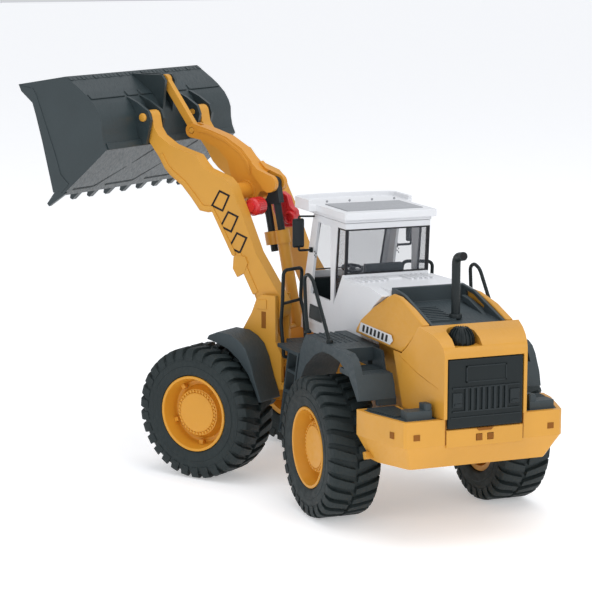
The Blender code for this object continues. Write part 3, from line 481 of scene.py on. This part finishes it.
frame_black = plastic("window_frame_black", (0.012, 0.013, 0.016), 0.3, 0.05, 0.1, shine=0.3)
rear_edge = edging([(-35.0, 178.0), (35.0, 178.0), (35.0, 214.3), (-35.0, 214.3)], 1.0, -0.8, 0.8, "x")
for v in rear_edge.verts:
    v.co.x += -49.2 - (v.co.z - 178.0) * 0.071
piece(rear_edge, "rear_window_frame", frame_black, "rear_body")
for label, side in SIDES:
    low, high = band(side, 35.2, 36.6)
    corner = slab([(-48.9, 177.8), (-50.3, 177.8), (-52.9, 214.4), (-51.5, 214.4)], low, high)
    front_bar = slab([(-31.7, 178.0), (-31.1, 156.4), (-32.1, 158.0), (-32.7, 178.0),
                      (-37.8, 214.3), (-36.8, 214.3)], low, high)
    top_bar = slab([(-36.8, 213.4), (-36.8, 214.4), (-52.2, 214.4), (-52.2, 213.4)], low, high)
    low_bar = slab([(-31.0, 155.9), (-46.0, 178.2), (-47.0, 178.2), (-32.0, 155.9)], low, high)
    around = joined(corner, front_bar, top_bar, low_bar)
    piece(around, "quarter_window_frame_" + label, frame_black, "rear_body")
front_edge = edging([(-30.7, 169.6), (30.7, 169.6), (30.7, 214.4), (-30.7, 214.4)], 1.0, -0.8, 0.8, "x")
for v in front_edge.verts:
    v.co.x += 31.6 - (v.co.z - 169.6) * 0.349
piece(front_edge, "windshield_frame", frame_black, "rear_body")
louvres = []
for y in (33.0, 28.4, 23.8, 19.2, 14.6, -9.4, -14.0, -18.6, -23.2, -27.8):
    rib = slab([(-55.0, 174.6), (-55.0, 176.6), (-80.0, 177.4), (-80.0, 175.2)], y - 1.0, y + 1.0)
    rounded(rib, 0.3, 1)
    louvres.append(rib)
plug = block(-72.0, -60.0, -4.0, 8.0, 174.8, 177.2)
rounded(plug, 0.7, 2)
louvres.append(plug)
piece(joined(*louvres), "deck_louvres", white, "rear_body")

# Mirrors ----------------------------------------------------------------------
# Upright black mirrors, one outside each front pillar. Each is one moulding with
# two thin bent arms and a clip that pushes into the cab's wall.

for label, side in SIDES:
    head = block(12.0, 15.4, *band(side, 46.0, 56.0), 192.0, 216.0)
    rounded(head, 1.5, 4)
    out, wall = side * 50.5, side * 38.2
    lower_arm = bar([(13.7, out, 193.0), (13.7, out, 189.5), (17.0, wall, 189.0)], 1.0, 2.0)
    upper_arm = bar([(13.7, out, 215.0), (13.7, out, 217.8), (9.0, wall, 217.8)], 0.8, 2.0)
    clip = block(15.6, 18.6, *band(side, 37.4, 39.4), 187.0, 191.0)
    whole = joined(head, lower_arm, upper_arm, clip)
    mirror = piece(whole, "mirror_head_" + label, black, "rear_body", smooth=50)
    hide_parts("mirror_" + label)
    glass = block(11.6, 12.2, *band(side, 47.2, 54.8), 193.6, 214.4)
    rounded(glass, 0.25)
    face = smoked_pane("mirror_face_" + label, (0.02, 0.025, 0.028), 1.0)
    piece(glass, "mirror_glass_" + label, face, "rear_body")

# Fenders, ladders and rails ------------------------------------------------------
# Dark grey wheel covers with a flange round the arch and tread patches on top,
# ladders in front of them and black wire handrails pushed into sockets.

for label, side in SIDES:
    moulded("rear_fender_" + label, slate, 0.8, 3)
    moulded("front_fender_" + label, slate, 0.8, 3)
    moulded("ladder_" + label, slate, 0.4)
    studs = []
    for i in range(9):
        for j in range(5):
            x, y = -66.0 - 5.0 * i, side * (50.0 + 4.6 * j)
            if abs(y) < 70.5:
                studs.append(block(x - 1.6, x + 1.6, y - 0.7, y + 0.7, 135.3, 135.9))
    piece(joined(*studs), "fender_tread_" + label, slate, "rear_body")
    low, high = band(side, 47.0, 69.0)
    ribs = [block(-149.0 + 1.7 * i, -148.2 + 1.7 * i, low, high, 121.4, 122.2) for i in range(10)]
    piece(joined(*ribs), "step_ribs_" + label, slate, "rear_body")
    y = side * 72.5
    rail = bar([(-61, y, 136.6), (-57, y, 150), (-54, y, 179.0), (-61, y, 182.5), (-71, y, 180.0),
                (-105.5, y, 136.8)], 1.5, 5.0)
    feet = []
    for x in (-61.2, -106.0):
        foot = turned([(0, 135.7), (2.8, 135.7), (2.8, 137.2), (2.0, 138.4), (0, 138.4)], 20, (0, 0, 1))
        feet.append(moved(foot, (x, y, 0)))
    whole = joined(rail, *feet)
    rear_rail = piece(whole, "rear_handrail_" + label, black, "rear_body", smooth=60)
    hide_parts("rear_rail_" + label)
    path = [(8, side * 57, 101.5), (7.5, side * 66.5, 103), (7.5, side * 66.5, 108), (12, side * 67, 131),
            (8.5, side * 67, 147), (6, side * 67, 175), (19, side * 45.5, 174.5), (24, side * 45.0, 147),
            (16, side * 45, 138), (13, side * 45, 116.4)]
    loop = joined(bar(path, 1.5, 5.0), bar([(8.5, side * 67, 147.0), (24.0, side * 45.0, 147.0)], 1.3))
    grab = piece(loop, "front_handrail_" + label, black, "rear_body", smooth=60)
    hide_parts("front_rail_" + label)

# Wheels ------------------------------------------------------------------------
# Soft dark tyres with thirty chunky lugs a side, pushed over yellow rims that are
# deeply dished, with a toothed hub ring and five small clip tabs.

rubber = plastic("tyre_rubber", (0.014, 0.022, 0.023), 0.56, 0.5, 0.18, 0.2, shine=0.35)
rim_yellow = plastic("rim_yellow_plastic", (0.66, 0.30, 0.024), 0.38, 0.08, 0.05, 0.18, 0.1, 0.4)
LUGS, TEETH, TABS = 30, 36, 5


def lug(start, side):
    """One tread lug from the shoulder to the middle, wrapped round the tyre."""
    carcass_radius = 52.0
    # across the tyre, radius at its foot and its top, half its length, shift round the tyre
    rows = [(20.6, 45.0, 46.0, 3.4, 0.0), (20.95, 46.2, 50.4, 3.5, 0.2), (19.0, 47.5, 53.9, 3.4, 0.8),
            (15.4, 48.5, 55.0, 3.2, 1.8), (8.0, 49.0, 55.0, 2.9, 4.2), (1.2, 49.0, 55.0, 2.6, 6.0)]
    bm = bmesh.new()
    rings = []
    for across, low, high, half, shift in rows:
        ring = []
        for radius, t in ((low, shift - half - 0.5), (high, shift - half), (high, shift + half),
                          (low, shift + half + 0.5)):
            turn = start + t / carcass_radius
            ring.append(bm.verts.new((radius * math.cos(turn), across * side, radius * math.sin(turn))))
        rings.append(ring)
    for one, two in zip(rings, rings[1:]):
        for i in range(4):
            bm.faces.new((one[i], one[(i + 1) % 4], two[(i + 1) % 4], two[i]))
    bm.faces.new(rings[0])
    bm.faces.new(rings[-1])
    bmesh.ops.recalc_face_normals(bm, faces=bm.faces)
    rounded(bm, 0.45, 1, 35.0)
    return bm


AXLE_HEIGHT, HALF_TRACK = 55.0, 72.2
for end, place, axle_x in (("rear", REAR, -107.0), ("front", FRONT, 107.0)):
    for label, side in SIDES:
        name = f"{end}_{label}"
        centre = place @ Matrix.Translation((axle_x, side * HALF_TRACK, AXLE_HEIGHT))
        spin_body = body_of["tyre_" + name]
        wall = [(31.9, -17.4), (32.6, -19.0), (34.2, -19.9), (38.0, -20.5), (39.6, -20.6), (40.0, -20.2),
                (43.0, -20.4), (48.0, -20.1), (50.8, -18.2), (51.8, -13.0), (52.2, -5.0), (52.2, 5.0),
                (51.8, 13.0), (50.8, 18.2), (48.0, 20.1), (43.0, 20.4), (40.0, 20.2), (39.6, 20.6),
                (38.0, 20.5), (34.2, 19.9), (32.6, 19.2), (31.9, 18.4), (31.9, -17.4)]
        carcass = turned(wall, 96)
        lugs = []
        for i in range(LUGS):
            lugs.append(lug(math.tau * (i + 0.25) / LUGS, 1))
            lugs.append(lug(math.tau * (i + 0.75) / LUGS, -1))
        whole = joined(carcass, *lugs)
        tyre = piece(whole, "lugged_tyre_" + name, rubber, spin_body, centre, 45)
        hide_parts("tyre_" + name)
        dish = [(4.3, -17.6), (8.0, -17.6), (8.0, 0.5), (27.0, 0.5), (27.5, -17.6), (31.6, -17.6),
                (31.6, 19.2), (30.9, 19.6), (29.6, 19.4), (29.0, 18.6), (27.0, 7.0), (26.0, 5.4), (24.0, 4.8),
                (22.6, 5.2), (19.8, 9.6), (19.6, 12.0), (18.9, 12.4), (16.8, 12.6), (16.4, 13.6),
                (15.6, 14.0), (0.0, 14.2)]
        dish = [(r, y * side) for r, y in dish]
        spindle_hole = [(0.0, 3.0 * side), (4.3, 3.0 * side), (4.3, -17.6 * side)]
        hub = [turned(dish + spindle_hole, 72)]
        for i in range(TEETH):
            tooth = moved(block(16.9, 18.7, -0.8, 0.8, -0.75, 0.75), (0, side * 12.7, 0))
            hub.append(spun(tooth, math.tau * i / TEETH, "Y"))
        for i in range(TABS):
            tab = block(23.4, 27.4, -2.0, 2.0, -1.9, 1.9)
            rounded(tab, 0.35)
            moved(tab, (0, side * 8.2, 0))
            tab = joined(tab, block(24.4, 26.4, side * 10.1 - 0.2, side * 10.1 + 0.2, -0.9, 0.9))
            hub.append(spun(tab, math.tau * (i + 0.3) / TABS, "Y"))
        rim = piece(joined(*hub), "dished_rim_" + name, rim_yellow, spin_body, centre, 35)
        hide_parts("rim_" + name)

# Front tower ---------------------------------------------------------------------
# The yellow front chassis with two pairs of cheeks that carry the boom pivot and
# the feet of the cylinders; a stop block is moulded on each outer cheek, and a slot beside it is drawn as a
# flat patch of painted shade.

moulded("front_chassis", yellow, 1.0, 3)
for label, side in SIDES:
    low, high = band(side, 46.4, 47.3)
    rib = slab([(63.5, 140), (73.0, 140), (73.0, 147.6), (63.5, 148.2)], low, high)
    rounded(rib, 0.5)
    piece(rib, "tower_stop_" + label, yellow, "front_body", FRONT)
    # The slot is a thin flat patch in the darker yellow: painted shade, not a cut.
    low, high = band(side, 46.4, 46.65)
    slot = slab([(64.2, 124), (68.6, 124), (68.6, 138), (64.2, 138)], low, high)
    piece(slot, "tower_slot_painted_shade_" + label, recess_shade_and_seam, "front_body", FRONT)

# Boom arms and cross tube ----------------------------------------------------------
# Two flat yellow arms with broad rounded rims and a raised strip along the lower
# edge, tied by a tube. A plain outlined pattern is printed on each outer face.

moulded("boom_arm_left", yellow, 1.5, 3)
moulded("boom_arm_right", yellow, 1.5, 3)
amber = plastic("deep_yellow_plastic", (0.64, 0.275, 0.026), 0.36, 0.08, 0.05, 0.18, 0.1, 0.4)
CRANK_AXIS = (112.0, 0, 231.0)
tube = turned([(0, -28.6), (10.4, -28.6), (10.4, -25.5), (8.0, -24.5), (8.0, 24.5), (10.4, 25.5),
               (10.4, 28.6), (0, 28.6)], 48)
moved(tube, CRANK_AXIS)
cross = piece(tube, "boom_cross_tube", amber, "boom", FRONT)
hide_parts("cross_tube")
for label, side in SIDES:
    low, high = band(side, 40.6, 42.0)
    strip = slab([(98.5, 181.5), (101.5, 181.3), (122.5, 218.0), (126.0, 217.0), (134.2, 218.4),
                  (142.6, 228.4), (151.8, 238.0), (164.0, 246.2), (169.6, 251.6), (175.4, 261.0),
                  (172.4, 262.6), (167.0, 253.6), (161.6, 248.6), (149.6, 240.8), (139.6, 230.8),
                  (131.0, 221.4), (121.0, 221.2), (98.2, 184.0)], low, high)
    rounded(strip, 0.5)
    piece(strip, "arm_strip_" + label, yellow, "boom", FRONT)
    low, high = band(side, 40.6, 41.9)
    strip = slab([(80.5, 150.0), (93.0, 172.4), (97.6, 182.0), (93.0, 184.4), (88.0, 176.0),
                  (75.5, 152.6)], low, high)
    rounded(strip, 0.5)
    piece(strip, "arm_lower_strip_" + label, yellow, "boom", FRONT)
    low, high = band(side, 40.9, 41.25)
    frames = []
    for i in range(3):
        cx, cz = 113.2 - 8.7 * i, 226.0 - 17.0 * i
        shape = [(cx - 9.8, cz + 5.6), (cx + 1.2, cz + 9.4), (cx + 9.8, cz - 4.6), (cx - 2.4, cz - 8.8)]
        frames.append(edging(shape, 1.6, low, high))
    piece(joined(*frames), "arm_pattern_" + label, dark_print_and_bore_shade, "boom", FRONT)
    head = turned([(0, 46.2), (3.6, 46.2), (3.6, 47.4), (2.9, 48.0), (0, 48.0)], 28)
    if side < 0:
        bmesh.ops.scale(head, verts=head.verts, vec=(1, -1, 1))
    moved(head, (189.0, 0, 292.5))
    piece(head, "bucket_pin_head_" + label, yellow, "boom", FRONT, 50)

# Red lock pieces --------------------------------------------------------------------
# A knurled knob on the left of the tilt cylinder and a lock block with a round
# eye on the right, both glossy red.

red = plastic("glossy_red_plastic", (0.62, 0.018, 0.022), 0.25, 0.05, 0.06, 0.15, 0.3)
KNOB_AXIS = (92.0, 0, 221.0)
KNURLS = 26
grip = [turned([(0, 12.4), (5.6, 12.4), (7.2, 13.6), (7.2, 24.6), (6.0, 26.0), (3.9, 26.4),
                (3.9, 28.5), (0, 28.5)], 40)]
for i in range(KNURLS):
    grip.append(spun(block(6.6, 7.7, 14.2, 24.2, -0.45, 0.45), math.tau * i / KNURLS, "Y"))
grip = moved(joined(*grip), KNOB_AXIS)
knob = piece(grip, "knurled_lock_knob", red, "knob", FRONT)
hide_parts("lock_knob_left")
lock = slab([(81.5, 227.0), (88.0, 230.6), (95.5, 226.5), (97.0, 214.5), (92.5, 205.0), (84.0, 199.8),
             (76.0, 201.0), (72.8, 207.0), (73.6, 215.0), (78.6, 219.0)], -19.0, -12.0)
rounded(lock, 1.4, 3)
eye = turned([(3.3, -9.4), (3.3, -16.0), (0, -16.0), (0, -18.0), (5.6, -18.0), (5.6, -9.4), (5.0, -8.8),
              (3.9, -8.8), (3.3, -9.4)], 36)
moved(eye, (78.4, 0, 209.0))
stub = turned([(0, -28.6), (4.0, -28.6), (4.0, -18.0), (6.4, -17.0), (6.4, -13.0), (0, -13.0)], 32)
moved(stub, KNOB_AXIS)
catch = piece(joined(lock, eye, stub), "red_lock_block", red, "boom", FRONT)
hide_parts("lock_knob_right")

# Bellcrank and tilt link --------------------------------------------------------------
# A thick curved lever in a deeper yellow with a raised border, rocking on the cross
# tube, and the short ribbed link from its front end to the bucket.

moulded("bellcrank", amber, 1.3, 3)
moulded("tilt_link", yellow, 0.8, 2)
for label, side in SIDES:
    low, high = band(side, 5.8, 6.6)
    border = slab([(161.5, 281.6), (151.0, 280.2), (133.0, 274.6), (118.0, 265.6), (109.6, 256.6),
                   (106.6, 246.0), (108.4, 245.4), (111.8, 255.2), (119.6, 263.4), (134.0, 272.0),
                   (151.4, 277.6), (161.5, 278.8)], low, high)
    rounded(border, 0.3, 1)
    piece(border, "bellcrank_border_" + label, amber, "crank", FRONT)
    boss = turned([(0, 5.8), (10.0, 5.8), (9.4, 7.0), (0, 7.0)], 40)
    if side < 0:
        bmesh.ops.scale(boss, verts=boss.verts, vec=(1, -1, 1))
    moved(boss, CRANK_AXIS)
    piece(boss, "bellcrank_boss_" + label, amber, "crank", FRONT, 50)

# Cylinders ------------------------------------------------------------------------------
# Yellow barrels with dark or yellow rods. The tilt cylinder ends in a double collar
# that guides two dark rods, joined at the top in one eye.

for label, side in SIDES:
    moulded("lift_barrel_" + label, yellow, 0.3, smooth=50)
    moulded("lift_rod_" + label, yellow, 0.2, smooth=50)
moulded("tilt_barrel", yellow, 0.5, 2, 40.0, 50)
moulded("tilt_rods", charcoal, 0.4, 2, 40.0, 50)

# Bucket ----------------------------------------------------------------------------------
# A dark grey scoop in one moulding, with a notched top lip, stiffening steps on its
# back, grooves under its floor, a strip down each side and nine teeth.

bucket_grey = plastic("bucket_slate_plastic", (0.024, 0.037, 0.041), 0.30, 0.3, 0.12, 0.2, shine=0.5)
moulded("bucket", bucket_grey, 0.7, 2)
HALF_WIDTH = 93.5
LIP_SPANS = ((-92.0, -46.3), (-42.5, -28.1), (-24.3, -8.9), (-5.3, 5.3), (8.9, 24.3), (28.1, 42.5),
             (46.3, 92.0))  # the upper step stops at the stiffeners of the lugs
LIP_CELLS = 34


def along_back(points, thick, y0, y1):
    """A plate that follows the bucket's outline on its outer side."""
    outline = [Vector(p) for p in points]
    outer = []
    for i, here in enumerate(outline):
        before, after = outline[max(i - 1, 0)], outline[min(i + 1, len(outline) - 1)]
        run = (after - before).normalized()
        outer.append(here + Vector((-run.y, run.x)) * thick)
    return slab([tuple(p) for p in outline] + [tuple(p) for p in reversed(outer)], y0, y1)


details = []
for y0, y1 in LIP_SPANS:
    step = along_back([(207.6, 309.7), (209.6, 311.4), (212.4, 313.6)], 0.9, y0, y1)
    rounded(step, 0.4, 1)
    details.append(step)
for i in range(LIP_CELLS):
    y = -HALF_WIDTH + 2.5 + i * (2 * HALF_WIDTH - 5.0) / (LIP_CELLS - 1)
    high = 0.25 + 0.25 * (i % 3 == 0) + 0.1 * (i % 2)
    details.append(along_back([(228.6, 324.7), (232.2, 327.0)], high, y - 1.9, y + 1.9))
ridge = along_back([(191.6, 268.2), (192.6, 271.0), (193.8, 273.8)], 1.2, -91.0, 91.0)
rounded(ridge, 0.4, 1)
details.append(ridge)
piece(joined(*details), "bucket_back_steps", bucket_grey, "scoop", FRONT)

groove_dark = plastic("groove_shadow", (0.016, 0.024, 0.027), 0.6, 0.2, 0.1)
floor_a, floor_b = Vector((191.5, 268.6)), Vector((240.2, 227.3))
down = (floor_b - floor_a).normalized()
under = Vector((down.y, -down.x))
grooves = []
for runs in (((86, 56), (58, 56), (16, 4)), ((42, 56), (4, 56), (-40, 4)), ((-14, 56), (-50, 56), (-88, 14))):
    for (y0, s0), (y1, s1) in zip(runs, runs[1:]):
        strip = block(0, math.hypot(y1 - y0, s1 - s0), -1.0, 1.0, -0.25, 0.3)
        spun(strip, math.atan2(s1 - s0, y1 - y0), "Z")
        moved(strip, (y0, s0, 0))
        for v in strip.verts:
            y, s, h = v.co
            spot = floor_a + down * s + under * h
            v.co = (spot.x, y, spot.y)
        grooves.append(strip)
piece(joined(*grooves), "bucket_floor_grooves", groove_dark, "scoop", FRONT)
for label, side in SIDES:
    low, high = band(side, HALF_WIDTH - 0.2, HALF_WIDTH + 0.6)
    strip = slab([(269.1, 316.8), (265.3, 310.6), (246.1, 261.8), (240.7, 245.4), (232.2, 237.7),
                  (240.6, 229.6), (248.6, 231.4), (254.0, 250.2), (259.8, 272.6), (266.4, 294.8),
                  (269.8, 305.0), (281.8, 314.6), (283.8, 318.6)], low, high)
    rounded(strip, 0.3, 1)
    piece(strip, "bucket_side_strip_" + label, bucket_grey, "scoop", FRONT)

# Floor, camera and light -----------------------------------------------------------------
# A plain pale floor that runs out to white, seen through one long lens from behind
# and to the left. One large lamp hangs above, one stands left and one behind.

floor = bmesh.new()
bmesh.ops.create_grid(floor, x_segments=1, y_segments=1, size=12.0)
mesh = bpy.data.meshes.new("studio_floor")
floor.to_mesh(mesh)
floor.free()
ground = bpy.data.objects.new("studio_floor", mesh)
bpy.context.scene.collection.objects.link(ground)
pale = plastic("studio_paper", (0.90, 0.905, 0.915), 0.9, 0.0, 0.01, 0.05, shine=0.1)
glow = pale.node_tree.nodes["Principled BSDF"].inputs
glow["Emission Color"].default_value = (1.0, 1.0, 1.0, 1.0)
glow["Emission Strength"].default_value = 0.34
mesh.materials.append(pale)

eye_point = REAR @ Vector((-1569.9, 678.3, 445.6))
target = REAR @ Vector((-26.38, 68.83, 159.21))
camera = bpy.data.cameras.new("camera")
camera.lens = 127.7
camera.sensor_width = 36.0
camera.clip_end = 50.0
viewer = bpy.data.objects.new("camera", camera)
bpy.context.scene.collection.objects.link(viewer)
viewer.location = eye_point
viewer.rotation_euler = (target - eye_point).to_track_quat("-Z", "Y").to_euler()
bpy.context.scene.camera = viewer

bpy.context.scene.view_settings.view_transform = "Standard"
world = bpy.data.worlds.new("studio")
bpy.context.scene.world = world
world.use_nodes = True
sky = world.node_tree.nodes["Background"].inputs
sky["Color"].default_value = (0.94, 0.96, 1.0, 1.0)
sky["Strength"].default_value = 0.68


def softbox(name, spot, aim, size, power):
    """A rectangular lamp at a spot, facing the point it aims at."""
    light = bpy.data.lights.new(name, "AREA")
    light.shape = "RECTANGLE"
    light.size, light.size_y = size
    light.energy = power
    lamp = bpy.data.objects.new(name, light)
    bpy.context.scene.collection.objects.link(lamp)
    lamp.location = spot
    lamp.rotation_euler = (Vector(aim) - Vector(spot)).to_track_quat("-Z", "Y").to_euler()


softbox("top_softbox", (-0.3, -0.2, 1.9), (0.0, 0.0, 0.1), (1.8, 1.8), 15.0)
softbox("left_softbox", (-1.2, 1.5, 0.9), (0.0, 0.0, 0.15), (1.2, 1.0), 5.5)
softbox("rear_softbox", (-1.9, -0.6, 0.9), (0.0, 0.0, 0.12), (1.2, 1.0), 7.5)
